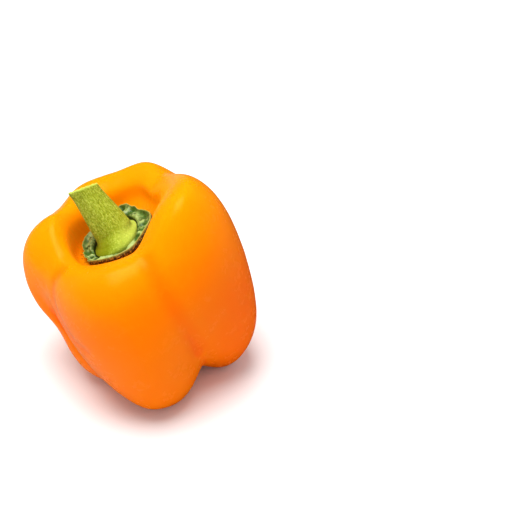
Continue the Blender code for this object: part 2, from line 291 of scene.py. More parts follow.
class StemSettings(bpy.types.PropertyGroup):
    """Sizes and colours of the stem."""

    colour: FloatVectorProperty(
        name="Shaft", description="Green of the shaft",
        subtype="COLOR", size=3, default=(0.28, 0.345, 0.012),
    )
    # Also the painted light on the right side of the stem's foot.
    pale_colour: FloatVectorProperty(
        name="Pale", description="Pale flecks and ribs", subtype="COLOR", size=3, default=(0.58, 0.65, 0.1)
    )
    foot_colour: FloatVectorProperty(
        name="Foot", description="Olive of the flared foot",
        subtype="COLOR", size=3, default=(0.20, 0.225, 0.001),
    )
    cut_colour: FloatVectorProperty(
        name="Cut", description="Fresh green inside the cut end",
        subtype="COLOR", size=3, default=(0.3, 0.42, 0.03),
    )
    ribs: IntProperty(name="Ribs", description="Number of broad ribs", default=5)
    rib_depth: FloatProperty(
        name="Rib depth", description="Depth of a rib, as a share of the radius", default=0.035
    )
    fibre_depth: FloatProperty(
        name="Fibre depth", description="Depth of the fine fibres", unit="LENGTH", default=0.4 * MM
    )
    rag: FloatProperty(
        name="Rag", description="Unevenness of the cut's edge", unit="LENGTH", default=1.8 * MM
    )
    columns: IntProperty(name="Columns", description="Columns of faces round it", default=385)
    rows: IntProperty(name="Rows", description="Rows of faces along it", default=200)


class StageSettings(bpy.types.PropertyGroup):
    """Camera, floor and lights."""

    elevation: FloatProperty(
        name="Elevation", description="Camera's angle above the horizon",
        subtype="ANGLE", default=math.radians(38),
    )
    distance: FloatProperty(name="Distance", description="Camera to aim", unit="LENGTH", default=0.572)
    aim: FloatVectorProperty(
        name="Aim", description="Point that the camera looks at",
        subtype="TRANSLATION", size=3, default=(0.0446, 0.0264, 0.0314),
    )
    focal_length: FloatProperty(
        name="Focal length", description="In millimetres on a 36 mm frame", default=100.0
    )
    floor_colour: FloatVectorProperty(
        name="Floor", description="Colour of the floor", subtype="COLOR", size=3, default=(0.9, 0.9, 0.9)
    )
    # Painted reflection, which paints shade on the skin's right side.
    mirrored_colour: FloatVectorProperty(
        name="Mirrored floor", description="The floor on the right, as the skin mirrors it",
        subtype="COLOR", size=3, default=(0.12, 0.03, 0.0),
    )
    sky: FloatProperty(
        name="Surroundings", description="Brightness of the white surroundings", default=0.56
    )
    key: FloatProperty(name="Key light", description="Power of the large soft light, in watts", default=9.0)


# Node trees


def add_node(tree, kind, values=None, **settings):
    """A new node, with its settings, and with values or sockets on its inputs."""
    node = tree.nodes.new(kind)
    for name, value in settings.items():
        setattr(node, name, value)
    for name, value in (values or {}).items():
        if isinstance(value, bpy.types.NodeSocket):
            tree.links.new(value, node.inputs[name])
        else:
            node.inputs[name].default_value = value
    return node


def maths(tree, operation, *values, clamp=False):
    """The result of a Math node."""
    node = add_node(tree, "ShaderNodeMath", dict(enumerate(values)), operation=operation, use_clamp=clamp)
    return node.outputs[0]


def plus(tree, first, second, clamp=False):
    """Two values added."""
    return maths(tree, "ADD", first, second, clamp=clamp)


def minus(tree, first, second):
    """The second value taken from the first."""
    return maths(tree, "SUBTRACT", first, second)


def times(tree, first, second):
    """Two values multiplied."""
    return maths(tree, "MULTIPLY", first, second)


def vector_maths(tree, operation, *values, output="Vector"):
    """The result of a Vector Math node."""
    inputs = dict(enumerate(values))
    if operation == "SCALE":
        inputs["Scale"] = inputs.pop(1)
    return add_node(tree, "ShaderNodeVectorMath", inputs, operation=operation).outputs[output]


def separate(tree, vector):
    """The X, Y and Z of a vector."""
    return add_node(tree, "ShaderNodeSeparateXYZ", {"Vector": vector}).outputs


def combine(tree, x, y, z):
    """A vector from its X, Y and Z."""
    return add_node(tree, "ShaderNodeCombineXYZ", {"X": x, "Y": y, "Z": z}).outputs[0]


def remap(tree, value, low, high, to_low=0.0, to_high=1.0, smooth=True):
    """The value moved from one range to another, and held inside it."""
    values = {"Value": value, "From Min": low, "From Max": high, "To Min": to_low, "To Max": to_high}
    kind = "SMOOTHSTEP" if smooth else "LINEAR"
    return add_node(tree, "ShaderNodeMapRange", values, interpolation_type=kind).outputs["Result"]


def noise(tree, place, scale, detail=2.0, roughness=0.5):
    """A noise between 0 and 1, of about this many swells to the metre."""
    values = {"Vector": place, "Scale": scale, "Detail": detail, "Roughness": roughness}
    return add_node(tree, "ShaderNodeTexNoise", values).outputs[0]


def mix(tree, share, first, second):
    """Two colours mixed. The node's sockets go by number, because those of each type share their names."""
    values = {0: share, 6: first, 7: second}
    for key in (6, 7):
        if not isinstance(values[key], bpy.types.NodeSocket):
            values[key] = (*values[key][:3], 1.0)
    return add_node(tree, "ShaderNodeMix", values, data_type="RGBA").outputs[2]


def new_group(name, kind, inputs, outputs):
    """An empty node group with named sockets, and its input and output nodes."""
    tree = bpy.data.node_groups.new(name, kind)
    for socket_name, socket_type in inputs:
        tree.interface.new_socket(socket_name, in_out="INPUT", socket_type=socket_type)
    for socket_name, socket_type in outputs:
        tree.interface.new_socket(socket_name, in_out="OUTPUT", socket_type=socket_type)
    return tree, tree.nodes.new("NodeGroupInput"), tree.nodes.new("NodeGroupOutput")


def keep_value(tree, geometry, name, value, kind="FLOAT"):
    """The geometry with a named value kept on its points."""
    values = {"Geometry": geometry, "Name": name, "Value": value}
    node = add_node(tree, "GeometryNodeStoreNamedAttribute", values, data_type=kind, domain="POINT")
    return node.outputs[0]


def end_tree(tree, end, geometry, material):
    """Ends a geometry tree: makes its instances real, and gives it its material."""
    real = add_node(tree, "GeometryNodeRealizeInstances", {"Geometry": geometry}).outputs[0]
    finished = add_node(tree, "GeometryNodeSetMaterial", {"Geometry": real, "Material": material})
    tree.links.new(finished.outputs[0], end.inputs["Geometry"])


# Pieces


def add_object(name, data):
    """A new object, linked to the scene."""
    obj = bpy.data.objects.new(name, data)
    bpy.context.scene.collection.objects.link(obj)
    return obj


def grown_with(name, mesh, tree, values):
    """An object with a plain mesh made by a geometry tree, with values on its named inputs."""
    source = add_object(name, mesh)
    modifier = source.modifiers.new(name, "NODES")
    modifier.node_group = tree
    for item in tree.interface.items_tree:
        if item.in_out == "INPUT" and item.name in values:
            modifier[item.identifier] = values[item.name]
    graph = bpy.context.evaluated_depsgraph_get()
    grown = bpy.data.meshes.new_from_object(source.evaluated_get(graph), depsgraph=graph)
    source.modifiers.clear()
    source.data = grown
    grown.name = name
    grown.shade_smooth()
    return source


def finish_piece(piece, node):
    """Gives a piece its place in the object."""
    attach(piece, "root")
    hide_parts(node)


# Shader groups


def flecks_group():
    """Mottled flecks of two sizes, used by every finish: a value round 0.5 and a fine height."""
    found = bpy.data.node_groups.get("Flecks")
    if found:
        return found
    tree, start, end = new_group(
        "Flecks",
        "ShaderNodeTree",
        [("Place", "NodeSocketVector"), ("Size", "NodeSocketFloat")],
        [("Value", "NodeSocketFloat"), ("Height", "NodeSocketFloat")],
    )
    place = start.outputs["Place"]
    to_metre = maths(tree, "DIVIDE", 1.0, start.outputs["Size"])
    broad = noise(tree, place, times(tree, to_metre, 0.3), detail=3.0)
    fine = noise(tree, place, to_metre, detail=4.0, roughness=0.6)
    value = plus(tree, times(tree, broad, 0.5), times(tree, fine, 0.5))
    tree.links.new(value, end.inputs["Value"])
    tree.links.new(fine, end.inputs["Height"])
    return tree


def flecks(tree, place, size):
    """The Flecks group, placed in a material: its value and its height."""
    node = add_node(tree, "ShaderNodeGroup", node_tree=flecks_group())
    tree.links.new(place, node.inputs["Place"])
    node.inputs["Size"].default_value = size
    return node.outputs["Value"], node.outputs["Height"]


def new_finish(name):
    """A material, its tree, its shader and its object coordinates."""
    made = bpy.data.materials.new(name)
    made.use_nodes = True
    tree = made.node_tree
    shader = tree.nodes["Principled BSDF"]
    place = tree.nodes.new("ShaderNodeTexCoord").outputs["Object"]
    return made, tree, shader, place


def set_numbers(shader, numbers):
    """Sets what is the same all over a surface, on the shader's own sockets."""
    for name, number in numbers.items():
        shader.inputs[name].default_value = number


def attribute(tree, name, output="Fac"):
    """A named value kept on the mesh."""
    return add_node(tree, "ShaderNodeAttribute", attribute_name=name).outputs[output]


def bumped(tree, shader, height, strength, distance):
    """Feeds the shader's normal from a height."""
    bump = add_node(tree, "ShaderNodeBump", {"Height": height, "Strength": strength, "Distance": distance})
    tree.links.new(bump.outputs["Normal"], shader.inputs["Normal"])


# Fruit


def fruit_cage():
    """The fruit's solid as one smooth cage of four-sided faces."""
    made = bmesh.new()
    made.from_mesh(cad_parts["fruit"].data)
    bmesh.ops.remove_doubles(made, verts=made.verts, dist=0.01 * MM)
    limit = math.radians(80)
    bmesh.ops.join_triangles(
        made, faces=made.faces, angle_face_threshold=limit, angle_shape_threshold=limit,
        cmp_seam=False, cmp_sharp=False, cmp_uvs=False, cmp_vcols=False, cmp_materials=False,
    )
    mesh = bpy.data.meshes.new("fruit_skin")
    made.to_mesh(mesh)
    made.free()
    return mesh


def around_seat(tree, place, seat, seat_turn):
    """Where a point is from the seat: how far across it, which way round it and how far above it."""
    values = {"Vector": vector_maths(tree, "SUBTRACT", place, seat), "Rotation": seat_turn}
    settings = {"rotation_type": "EULER_XYZ", "invert": True}
    x, y, z = separate(tree, add_node(tree, "ShaderNodeVectorRotate", values, **settings).outputs[0])
    across = maths(tree, "SQRT", plus(tree, maths(tree, "POWER", x, 2.0), maths(tree, "POWER", y, 2.0)))
    return across, maths(tree, "ARCTAN2", y, x), z


def fold_share(tree, points, width):
    """How near the skin is to the line of a fold, from 0 at its edge to 1 on the line."""
    names = ("Start", "Start Handle", "End Handle", "End")
    values = {name: Vector(point) * MM for name, point in zip(names, points)}
    curve = add_node(tree, "GeometryNodeCurvePrimitiveBezierSegment", values).outputs[0]
    line = add_node(tree, "GeometryNodeCurveToMesh", {0: curve}).outputs[0]
    away = add_node(tree, "GeometryNodeProximity", {0: line}, target_element="EDGES").outputs["Distance"]
    return remap(tree, away, 0.0, width * MM, 1.0, 0.0)


def fruit_tree():
    """Cuts the cage fine, raises the skin's slow wobble and the calyx's puckers, and presses in the folds."""
    tree, start, end = new_group(
        "Fruit relief",
        "GeometryNodeTree",
        [
            ("Geometry", "NodeSocketGeometry"),
            ("Levels", "NodeSocketInt"),
            ("Wobble height", "NodeSocketFloat"),
            ("Wobble size", "NodeSocketFloat"),
            ("Pucker height", "NodeSocketFloat"),
            ("Puckers", "NodeSocketFloat"),
            ("Seat", "NodeSocketVector"),
            ("Seat turn", "NodeSocketVector"),
            ("Material", "NodeSocketMaterial"),
        ],
        [("Geometry", "NodeSocketGeometry")],
    )
    given = start.outputs
    cage = {"Mesh": given["Geometry"], "Level": given["Levels"]}
    cut = add_node(tree, "GeometryNodeSubdivisionSurface", cage).outputs["Mesh"]
    place = tree.nodes.new("GeometryNodeInputPosition").outputs[0]
    normal = tree.nodes.new("GeometryNodeInputNormal").outputs[0]

    across, turn, above = around_seat(tree, place, given["Seat"], given["Seat turn"])
    beside = times(
        tree, remap(tree, across, *PUCKERS_START), remap(tree, across, *PUCKERS_END, 1.0, 0.0)
    )
    near_calyx = times(tree, beside, remap(tree, above, -4 * MM, 0.0))
    bent = plus(tree, turn, times(tree, noise(tree, place, PUCKER_BENDS), 0.5))
    wave = maths(tree, "SINE", times(tree, bent, given["Puckers"]))
    uneven = times(tree, wave, noise(tree, place, PUCKER_PATCHES))
    pucker = times(tree, uneven, times(tree, near_calyx, given["Pucker height"]))

    to_metre = maths(tree, "DIVIDE", 1.0, given["Wobble size"])
    slow = minus(tree, noise(tree, place, to_metre, detail=1.5), 0.5)
    wobble = times(tree, slow, times(tree, given["Wobble height"], 2.0))

    height = plus(tree, wobble, pucker)
    folded = 0.0
    for *points, width, depth in FOLDS:
        share = fold_share(tree, points, width)
        height = minus(tree, height, times(tree, share, depth * MM))
        folded = maths(tree, "MAXIMUM", folded, share)
    height = times(tree, height, remap(tree, separate(tree, place)[2], *RELIEF_START))
    offset = vector_maths(tree, "SCALE", normal, height)
    kept = add_node(tree, "GeometryNodeSetPosition", {"Geometry": cut, "Offset": offset}).outputs[0]

    steps = {"Value": place, "Iterations": HOLLOW_REACH}
    smooth = add_node(tree, "GeometryNodeBlurAttribute", steps, data_type="FLOAT_VECTOR").outputs[0]
    inward = vector_maths(tree, "SUBTRACT", smooth, place)
    sunk = vector_maths(tree, "DOT_PRODUCT", inward, normal, output="Value")
    values = {
        "from_calyx": across,
        "pucker": wave,
        "near_calyx": near_calyx,
        "hollow": times(tree, sunk, 1 / HOLLOW_DEPTH),
        "folded": folded,
    }
    for name, value in values.items():
        kept = keep_value(tree, kept, name, value)
    end_tree(tree, end, kept, given["Material"])
    return tree


def skin_colour(tree, place, value, settings):
    """Orange, yellower on the shoulders, partly from its own tone and partly as painted light, with painted
    shade that makes it darker and redder in the creases, on the right and near the bottom, and with cork at
    both ends.
    """
    right, _, up = separate(tree, place)
    from_calyx = attribute(tree, "from_calyx")
    along = vector_maths(tree, "DOT_PRODUCT", place, GROWTH_AXIS, output="Value")
    # Yellower tops: partly the skin's own riper tone, partly painted light where the light from above falls
    # on the shoulders and in the dimple round the calyx.
    crest = plus(tree, along, times(tree, noise(tree, place, SHOULDER_WAVES), 10 * MM))
    dimple = times(tree, remap(tree, from_calyx, *DIMPLE_END, 0.8, 0.0), remap(tree, up, *DIMPLE_START))
    shoulder_and_painted_light = maths(tree, "MAXIMUM", remap(tree, crest, *SHOULDER_START), dimple)
    colour = mix(tree, shoulder_and_painted_light, settings.colour, settings.shoulder_and_painted_light_colour)

    # Painted shade: darker, redder skin in the hollows and folds, on the lower right flank, where less light
    # reaches, and faintly near the bottom.
    flank = remap(tree, up, *FLANK_END, 1.0, 0.0)
    crease_shade = times(tree, remap(tree, attribute(tree, "hollow"), 0.05, 0.6, 0.0, 0.6), flank)
    crease_shade = maths(tree, "MAXIMUM", crease_shade, times(tree, attribute(tree, "folded"), 0.35))
    right_side_shade = times(tree, remap(tree, right, *RIGHT_SHADE_START, 0.0, 0.6), flank)
    low = remap(tree, crest, 0.0, 40 * MM, 0.05, 0.0)
    painted_shade = plus(tree, crease_shade, plus(tree, right_side_shade, low), clamp=True)
    colour = mix(tree, painted_shade, colour, settings.painted_shade_colour)
    colour = mix(tree, remap(tree, value, 0.4, 0.65, 0.0, 0.05), colour, PALE_FLECK_COLOUR)

    near = attribute(tree, "near_calyx")
    lines = remap(tree, attribute(tree, "pucker"), 0.1, 0.9)
    green = times(tree, near, remap(tree, from_calyx, *GREEN_END, 1.0, 0.0))
    green = times(tree, green, remap(tree, lines, 0.0, 1.0, 0.1, 0.4))
    colour = mix(tree, green, colour, settings.green_colour)
    specks = times(tree, remap(tree, from_calyx, *SPECKS_END, 1.0, 0.0), near)
    crumbs = remap(tree, noise(tree, place, CORK_CRUMBS, detail=3.0), 0.54, 0.66, 0.0, 0.8)
    colour = mix(tree, times(tree, specks, crumbs), colour, settings.cork_colour)
    from_blossom = vector_maths(tree, "DISTANCE", place, BLOSSOM_END, output="Value")
    return mix(tree, remap(tree, from_blossom, *SCAR_END, 1.0, 0.0), colour, settings.cork_colour)


def skin_finish(settings):
    """Waxy skin with a soft gloss and fine pores."""
    made, tree, shader, place = new_finish("pepper skin")
    value, height = flecks(tree, place, 2.2 * MM)
    tree.links.new(skin_colour(tree, place, value, settings), shader.inputs["Base Color"])
    tree.links.new(remap(tree, value, 0.3, 0.7, 0.22, 0.3, smooth=False), shader.inputs["Roughness"])
    set_numbers(shader, {
        "Specular IOR Level": 0.25,
        "Specular Tint": (1.0, 0.45, 0.08, 1.0),
        "Subsurface Weight": 0.35,
        "Subsurface Radius": (1.0, 0.5, 0.1),
        "Subsurface Scale": 8 * MM,
    })
    pores = add_node(tree, "ShaderNodeTexVoronoi", {"Vector": place, "Scale": PORES}).outputs["Distance"]
    bumped(tree, shader, plus(tree, height, times(tree, pores, 0.35)), 0.1, 0.1 * MM)
    return made


class PEPPER_OT_fruit(bpy.types.Operator):
    """Build the fruit's skin round its solid"""

    bl_idname = "pepper.fruit"
    bl_label = "Fruit"

    def execute(self, context):
        settings = context.scene.pepper_skin
        values = {
            "Levels": settings.levels,
            "Wobble height": settings.wobble_height,
            "Wobble size": settings.wobble_size,
            "Pucker height": settings.pucker_height,
            "Puckers": float(settings.puckers),
            "Seat": SEAT_MIDDLE,
            "Seat turn": Vector(SEAT_TURN),
            "Material": skin_finish(settings),
        }
        piece = grown_with("fruit_skin", fruit_cage(), fruit_tree(), values)
        finish_piece(piece, "fruit")
        return {"FINISHED"}


# Calyx


def seat_point(point):
    """A point given from the seat, in the object's frame."""
    return SEAT_MIDDLE + SEAT_TURN.to_matrix() @ Vector(point)


def fruit_heights(radii, angles):
    """Height of the fruit's skin over the seat at each radius and angle, in metres."""
    skin = bpy.data.objects["fruit_skin"].data
    corners = [vertex.co.copy() for vertex in skin.vertices]
    surface = BVHTree.FromPolygons(corners, [tuple(face.vertices) for face in skin.polygons])
    turn = SEAT_TURN.to_matrix()
    down = turn @ Vector((0.0, 0.0, -1.0))
    above = 30 * MM
    heights = np.zeros(radii.shape)
    for index in np.ndindex(radii.shape):
        radius, angle = radii[index], angles[index]
        start = seat_point((radius * math.cos(angle), radius * math.sin(angle), above))
        heights[index] = above - surface.ray_cast(start, down)[3]
    return heights


def bumps(places, size, seed):
    """Smooth noise from -1 to 1 at each place, with swells of about this size."""
    shift = Vector((seed * 7.3, seed * 3.1, seed * 5.7))
    flat = places.reshape(-1, 3)
    values = np.array([mathutils.noise.noise(Vector(place) / size + shift) for place in flat])
    return values.reshape(places.shape[:-1])


def closed_rings(name, rings, values):
    """A closed object of rings of points, with a pole in the middle of the first and of the last."""
    rows, columns = rings.shape[:2]
    poles = [rings[0].mean(0), rings[-1].mean(0)]
    points = np.concatenate((rings.reshape(-1, 3), poles))
    faces = []
    for column in range(columns):
        after = (column + 1) % columns
        faces.append((rows * columns, column, after))
        faces.append((rows * columns + 1, (rows - 1) * columns + after, (rows - 1) * columns + column))
        for row in range(rows - 1):
            upper, lower = row * columns, (row + 1) * columns
            faces.append((upper + column, lower + column, lower + after, upper + after))
    mesh = bpy.data.meshes.new(name)
    mesh.from_pydata([seat_point(point) for point in points], [], faces)
    for key, value in values.items():
        kept = mesh.attributes.new(key, "FLOAT", "POINT")
        kept.data.foreach_set("value", np.append(value.reshape(-1), (value[0].mean(), value[-1].mean())))
    mesh.shade_smooth()
    return add_object(name, mesh)


def calyx_rows():
    """(share of the way to the rim, thickness, share of a lump, cork) down the calyx's section."""
    top = [(share, thickness, lump, 0.0) for share, thickness, lump in COLLAR_TOP]
    under = [(share, thickness, 0.0, cork) for share, thickness, cork in COLLAR_UNDER]
    knots = np.array(top + under)
    steps = np.hypot(np.diff(knots[:, 0]) * COLLAR_WIDTH, np.diff(knots[:, 1]))
    length = np.concatenate(([0.0], np.cumsum(steps)))
    places = np.linspace(0.0, length[-1], CALYX_ROWS)
    return np.stack([np.interp(places, length, knots[:, column]) for column in range(4)], 1)


def collar_rings(settings):
    """Rings of points down the calyx's section, given from the seat, and the values kept on them."""
    share, thickness, lumpy, cork = (column[:, None] for column in calyx_rows().T)
    angle = np.linspace(0.0, 2 * math.pi, settings.columns, endpoint=False)[None, :]
    circle = np.stack((np.cos(angle), np.sin(angle), 0 * angle), -1)
    degrees, radii = np.array(RIM).T
    rim = np.interp(np.degrees(angle), degrees, radii * MM, period=360) * settings.size
    rim = rim + RIM_WAVE * bumps(circle * rim[..., None], RIM_WAVE_SIZE, 1)
    inner = COLLAR_INNER_RADIUS * (1 - FOOT_STRETCH * np.cos(2 * angle) - FOOT_SHIFT * np.cos(angle))
    radius = inner + np.maximum(share, 0.0) * (rim - inner)
    radius = np.where(share < 0, inner * (1 + share), radius)
    place = radius[..., None] * circle
    fruit = fruit_heights(radius, np.broadcast_to(angle, radius.shape))

    warp = angle + 0.25 * np.sin(3 * angle + 1.0) + 0.1 * np.sin(5 * angle)
    lump = np.sin(settings.lumps * warp + 3.0 * share) + 0.8 * bumps(place, LUMP_SIZE, 2)
    crinkle = bumps(place, CRINKLE_SIZE, 3)
    under = cork > 0.5
    crumbs = bumps(np.dstack((place[..., :2], 0 * radius + cork * MM)), CRUMB_SIZE, 4)
    lift = (LUMP_HEIGHT * lump + CRINKLE_HEIGHT * crinkle) * lumpy + CRUMB_HEIGHT * crumbs * under
    base = np.where(under, fruit, np.maximum(fruit, SEAT_GAP) + SEAT_GAP)
    height = np.where((share < 0) & ~under, SOCKET_FLOOR, base + thickness * MM + lift)
    rings = np.stack((place[..., 0], place[..., 1], height), -1)
    flat = np.ones_like(radius)
    values = {
        "lump": lump * lumpy,
        "edge": flat * np.exp(-(((share - 1) / LINE_WIDTH) ** 2)) * (1 - 0.6 * cork),
        "cork": flat * cork,
        "crack": flat * np.exp(-((share / LINE_WIDTH) ** 2)) * ~under,
    }
    return rings, values


def calyx_finish(settings):
    """Fleshy green collar with paler lumps, a thin pale rim and brown cork beneath it."""
    made, tree, shader, place = new_finish("calyx green")
    value, height = flecks(tree, place, 1.1 * MM)
    shade = [channel * 0.45 for channel in settings.leaf_colour]
    colour = mix(tree, remap(tree, value, 0.35, 0.6), shade, settings.leaf_colour)
    lump = remap(tree, attribute(tree, "lump"), -0.6, 0.8)
    colour = mix(tree, times(tree, lump, remap(tree, value, 0.38, 0.56)), colour, settings.lump_colour)
    colour = mix(tree, attribute(tree, "edge"), colour, settings.edge_colour)
    cork = attribute(tree, "cork")
    crumbs = noise(tree, place, CORK_CRUMBS, detail=3.0)
    brown = mix(tree, remap(tree, crumbs, 0.5, 0.62), settings.cork_colour, settings.crumb_colour)
    colour = mix(tree, cork, colour, brown)
    colour = mix(tree, remap(tree, attribute(tree, "crack"), 0.2, 0.9), colour, CRACK_COLOUR)
    tree.links.new(colour, shader.inputs["Base Color"])
    tree.links.new(remap(tree, cork, 0.0, 1.0, 0.42, 0.85), shader.inputs["Roughness"])
    set_numbers(shader, {
        "Subsurface Weight": 0.08,
        "Subsurface Radius": (0.5, 1.0, 0.2),
        "Subsurface Scale": 1 * MM,
    })
    bumped(tree, shader, plus(tree, height, crumbs), 0.5, 0.25 * MM)
    return made


class PEPPER_OT_calyx(bpy.types.Operator):
    """Build the calyx in the hollow of the fruit"""

    bl_idname = "pepper.calyx"
    bl_label = "Calyx"

    def execute(self, context):
        settings = context.scene.pepper_calyx
        piece = closed_rings("calyx_collar", *collar_rings(settings))
        piece.data.materials.append(calyx_finish(settings))
        finish_piece(piece, "calyx")
        return {"FINISHED"}


# Stem


def profile_curve(tree, share, samples):
    """A Float Curve through (place, value) samples, all between 0 and 1."""
    node = add_node(tree, "ShaderNodeFloatCurve", {"Value": share})
    points = node.mapping.curves[0].points
    points[0].location = samples[0]
    points[1].location = samples[-1]
    for place, value in samples[1:-1]:
        points.new(place, value)
    for point in points:
        point.handle_type = "AUTO_CLAMPED"
    node.mapping.update()
    return node.outputs[0]


def stem_samples(column, largest):
    """(share of the section's length, share of the largest) for the stem's distances or its radii."""
    knots = np.array(STEM_SECTION)
    along = np.concatenate(([0.0], np.cumsum(np.hypot(*np.diff(knots, axis=0).T))))
    return list(zip(along / along[-1], knots[:, column] / largest))


def stem_width(tree, given, turn, distance, radius, fibre, outside):
    """How far the stem's side is from its middle, with broad ribs, fine fibres and a longer foot."""
    rib = times(tree, maths(tree, "COSINE", times(tree, turn, given["Ribs"])), given["Rib depth"])
    rise = times(tree, remap(tree, distance, 0.0, RIBS_FULL, smooth=False), outside)
    width = times(tree, radius, plus(tree, 1.0, times(tree, rib, rise)))
    width = plus(tree, width, times(tree, fibre, remap(tree, distance, *FIBRES_START)))
    width = maths(tree, "MAXIMUM", width, 0.0)
    stretch = times(tree, maths(tree, "COSINE", times(tree, turn, 2.0)), given["Foot stretch"])
    shift = times(tree, maths(tree, "COSINE", turn), given["Foot shift"])
    shorter = times(tree, plus(tree, stretch, shift), remap(tree, distance, *FOOT_END, 1.0, 0.0))
    return times(tree, width, minus(tree, 1.0, shorter))


def cut_shift(tree, given, share, circle, slanted, width):
    """How far a point is moved along the stem for the cut's ragged edge and its slant."""
    rag = minus(tree, noise(tree, circle, CUT_RAGS, detail=4.0, roughness=0.7), 0.5)
    near_cut = times(
        tree, remap(tree, share, SHAFT_END - 0.03, SHAFT_END),
        remap(tree, share, SHAFT_END + 0.01, 0.98, 1.0, 0.0),
    )
    rag = times(tree, times(tree, rag, given["Rag"]), near_cut)
    cosine, sine, _ = separate(tree, circle)
    slope = plus(tree, times(tree, cosine, given["Cut slope"]), times(tree, sine, given["Cut slope back"]))
    return minus(tree, rag, times(tree, times(tree, slope, width), slanted))


def stem_path(tree, given, distance):
    """The middle of the stem at a distance along it, and the way that it points there."""
    early = maths(tree, "MINIMUM", distance, given["Bend"])
    bent = maths(tree, "DIVIDE", times(tree, early, early), times(tree, given["Bend"], 2.0))
    aimed = plus(tree, bent, minus(tree, distance, early))
    upright = vector_maths(tree, "SCALE", given["Up"], minus(tree, distance, aimed))
    middle = vector_maths(tree, "ADD", upright, vector_maths(tree, "SCALE", given["Aim"], aimed))
    turned = remap(tree, distance, 0.0, given["Bend"], smooth=False)
    ways = {0: turned, 4: given["Up"], 5: given["Aim"]}
    return middle, add_node(tree, "ShaderNodeMix", ways, data_type="VECTOR").outputs[1]


def stem_tree():
    """Sweeps the stem's section round its path, with broad ribs, fine fibres and a slanted, ragged cut."""
    tree, start, end = new_group(
        "Stem sweep",
        "GeometryNodeTree",
        [
            ("Geometry", "NodeSocketGeometry"),
            ("Columns", "NodeSocketInt"),
            ("Rows", "NodeSocketInt"),
            ("Foot", "NodeSocketVector"),
            ("Up", "NodeSocketVector"),
            ("Aim", "NodeSocketVector"),
            ("Bend", "NodeSocketFloat"),
            ("Ribs", "NodeSocketFloat"),
            ("Rib depth", "NodeSocketFloat"),
            ("Foot stretch", "NodeSocketFloat"),
            ("Foot shift", "NodeSocketFloat"),
            ("Fibre depth", "NodeSocketFloat"),
            ("Cut slope", "NodeSocketFloat"),
            ("Cut slope back", "NodeSocketFloat"),
            ("Slant from", "NodeSocketFloat"),
            ("Rag", "NodeSocketFloat"),
            ("Material", "NodeSocketMaterial"),
        ],
        [("Geometry", "NodeSocketGeometry")],
    )
    given = start.outputs
    size = {"Size X": 1.0, "Size Y": 1.0, "Vertices X": given["Columns"], "Vertices Y": given["Rows"]}
    grid = add_node(tree, "GeometryNodeMeshGrid", size).outputs
    kept = keep_value(tree, grid["Mesh"], "section", grid["UV Map"], "FLOAT_VECTOR")
    read = add_node(tree, "GeometryNodeInputNamedAttribute", {"Name": "section"}, data_type="FLOAT_VECTOR")
    round_share, share, _ = separate(tree, read.outputs[0])
    turn = times(tree, round_share, 2 * math.pi)
    longest = max(distance for distance, _ in STEM_SECTION)
    widest = max(radius for _, radius in STEM_SECTION)
    distance = times(tree, profile_curve(tree, share, stem_samples(0, longest)), longest * MM)
    radius = times(tree, profile_curve(tree, share, stem_samples(1, widest)), widest * MM)

    cosine, sine = maths(tree, "COSINE", turn), maths(tree, "SINE", turn)
    long_place = combine(tree, cosine, sine, times(tree, distance, FIBRE_RUN))
    outside = remap(tree, share, SHAFT_END - 0.01, SHAFT_END + 0.02, 1.0, 0.0)
    fibre = minus(tree, noise(tree, long_place, FIBRES, detail=4.0, roughness=0.7), 0.5)
    fibre = times(tree, times(tree, fibre, given["Fibre depth"]), outside)
    width = stem_width(tree, given, turn, distance, radius, fibre, outside)
    slanted = remap(tree, distance, given["Slant from"], longest * MM, smooth=False)
    shift = cut_shift(tree, given, share, combine(tree, cosine, sine, 0.0), slanted, width)

    middle, direction = stem_path(tree, given, distance)
    facing = add_node(tree, "FunctionNodeAlignRotationToVector", {"Vector": direction}, axis="Z").outputs[0]
    ring = combine(tree, times(tree, cosine, width), times(tree, sine, width), shift)
    across = add_node(tree, "FunctionNodeRotateVector", {"Vector": ring, "Rotation": facing}).outputs[0]
    place = vector_maths(tree, "ADD", given["Foot"], vector_maths(tree, "ADD", middle, across))
    kept = add_node(tree, "GeometryNodeSetPosition", {"Geometry": kept, "Position": place}).outputs[0]
    kept = keep_value(tree, kept, "along", share)
    kept = keep_value(tree, kept, "long_place", long_place, "FLOAT_VECTOR")
    close = {"Geometry": kept, "Distance": 0.002 * MM}
    merged = add_node(tree, "GeometryNodeMergeByDistance", close).outputs[0]
    end_tree(tree, end, merged, given["Material"])
    return tree


